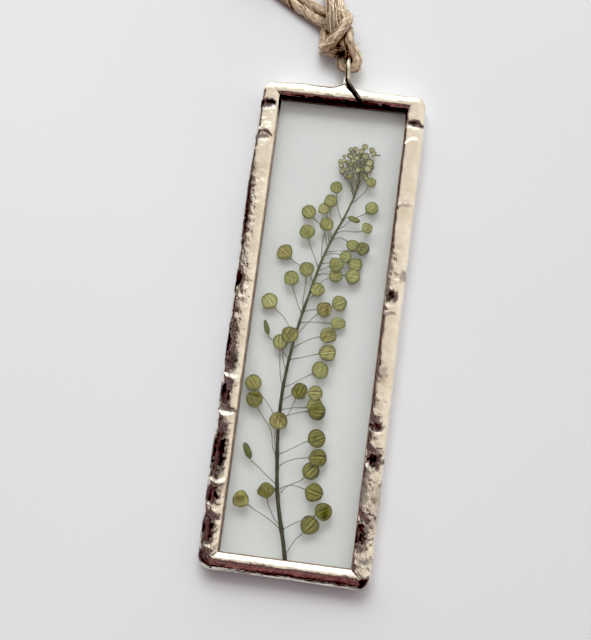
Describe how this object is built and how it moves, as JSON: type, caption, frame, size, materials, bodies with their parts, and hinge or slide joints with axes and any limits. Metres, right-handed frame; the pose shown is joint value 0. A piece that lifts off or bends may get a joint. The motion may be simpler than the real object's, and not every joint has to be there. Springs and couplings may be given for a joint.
{
  "type": "pressed flower glass ornament",
  "caption": "Tall pressed-flower hanging ornament: a dried sprig with round flat pods between two clear glass panes, soldered round the edge, with a wire loop and a twine hanger.",
  "frame": {"origin": "on the surface that the ornament lies on, under the middle of its box measured without the twine; the back of the glass is down", "axes": "+Y along the long side towards the wire loop, +Z out of the front of the glass (up as it lies), +X to the right seen from the front"},
  "size_m": [0.0373, 0.1154, 0.0053],
  "materials": {
    "clear_glass": "clear polished window-grade glass",
    "copper_tape": "thin self-adhesive copper foil, darkened by patina where it shows past the solder",
    "lead_tin_solder": "hand-run solder, mirror bright with slow ripples, dents and dull grey-brown patches",
    "tinned_wire": "bright tinned copper wire with a little tarnish",
    "dried_stem": "dry matt olive-brown plant stem",
    "dried_pod": "dry papery olive-green seed pod with a darker rim",
    "dried_bud": "dry grey-green buds with dark outlines",
    "jute_twine": "hairy twisted jute twine"
  },
  "bodies": {
    "root": {"glass_back": "clear_glass", "glass_front": "clear_glass", "copper_foil": "copper_tape", "solder_frame": "lead_tin_solder", "wire_loop": "tinned_wire", "stem": "dried_stem", "flower_head": "dried_bud", "loose_petal": "dried_bud", "pod_left_01": "dried_pod", "pod_left_02": "dried_pod", "pod_left_03": "dried_pod", "pod_left_04": "dried_pod", "pod_left_05": "dried_pod", "pod_left_06": "dried_pod", "pod_left_07": "dried_pod", "pod_left_08": "dried_pod", "pod_left_09": "dried_pod", "pod_left_10": "dried_pod", "pod_left_11": "dried_pod", "pod_left_12": "dried_pod", "pod_left_13": "dried_pod", "pod_left_14": "dried_pod", "pod_left_15": "dried_pod", "pod_left_16": "dried_pod", "pod_left_17": "dried_pod", "pod_left_18": "dried_pod", "pod_left_19": "dried_pod", "pod_right_01": "dried_pod", "pod_right_02": "dried_pod", "pod_right_03": "dried_pod", "pod_right_04": "dried_pod", "pod_right_05": "dried_pod", "pod_right_06": "dried_pod", "pod_right_07": "dried_pod", "pod_right_08": "dried_pod", "pod_right_09": "dried_pod", "pod_right_10": "dried_pod", "pod_right_11": "dried_pod", "pod_right_12": "dried_pod", "pod_right_13": "dried_pod", "pod_right_14": "dried_pod", "pod_right_15": "dried_pod", "pod_right_16": "dried_pod", "pod_right_17": "dried_pod", "pod_right_18": "dried_pod", "pod_right_19": "dried_pod", "pod_right_20": "dried_pod", "pod_right_21": "dried_pod", "pod_right_22": "dried_pod", "pod_right_23": "dried_pod", "pod_right_24": "dried_pod", "pod_right_25": "dried_pod", "pod_right_26": "dried_pod", "pod_right_27": "dried_pod", "pod_right_28": "dried_pod", "twine_knot": "jute_twine", "twine_side_lower": "jute_twine", "twine_side_upper": "jute_twine", "twine_coil": "jute_twine"}
  },
  "joints": []
}
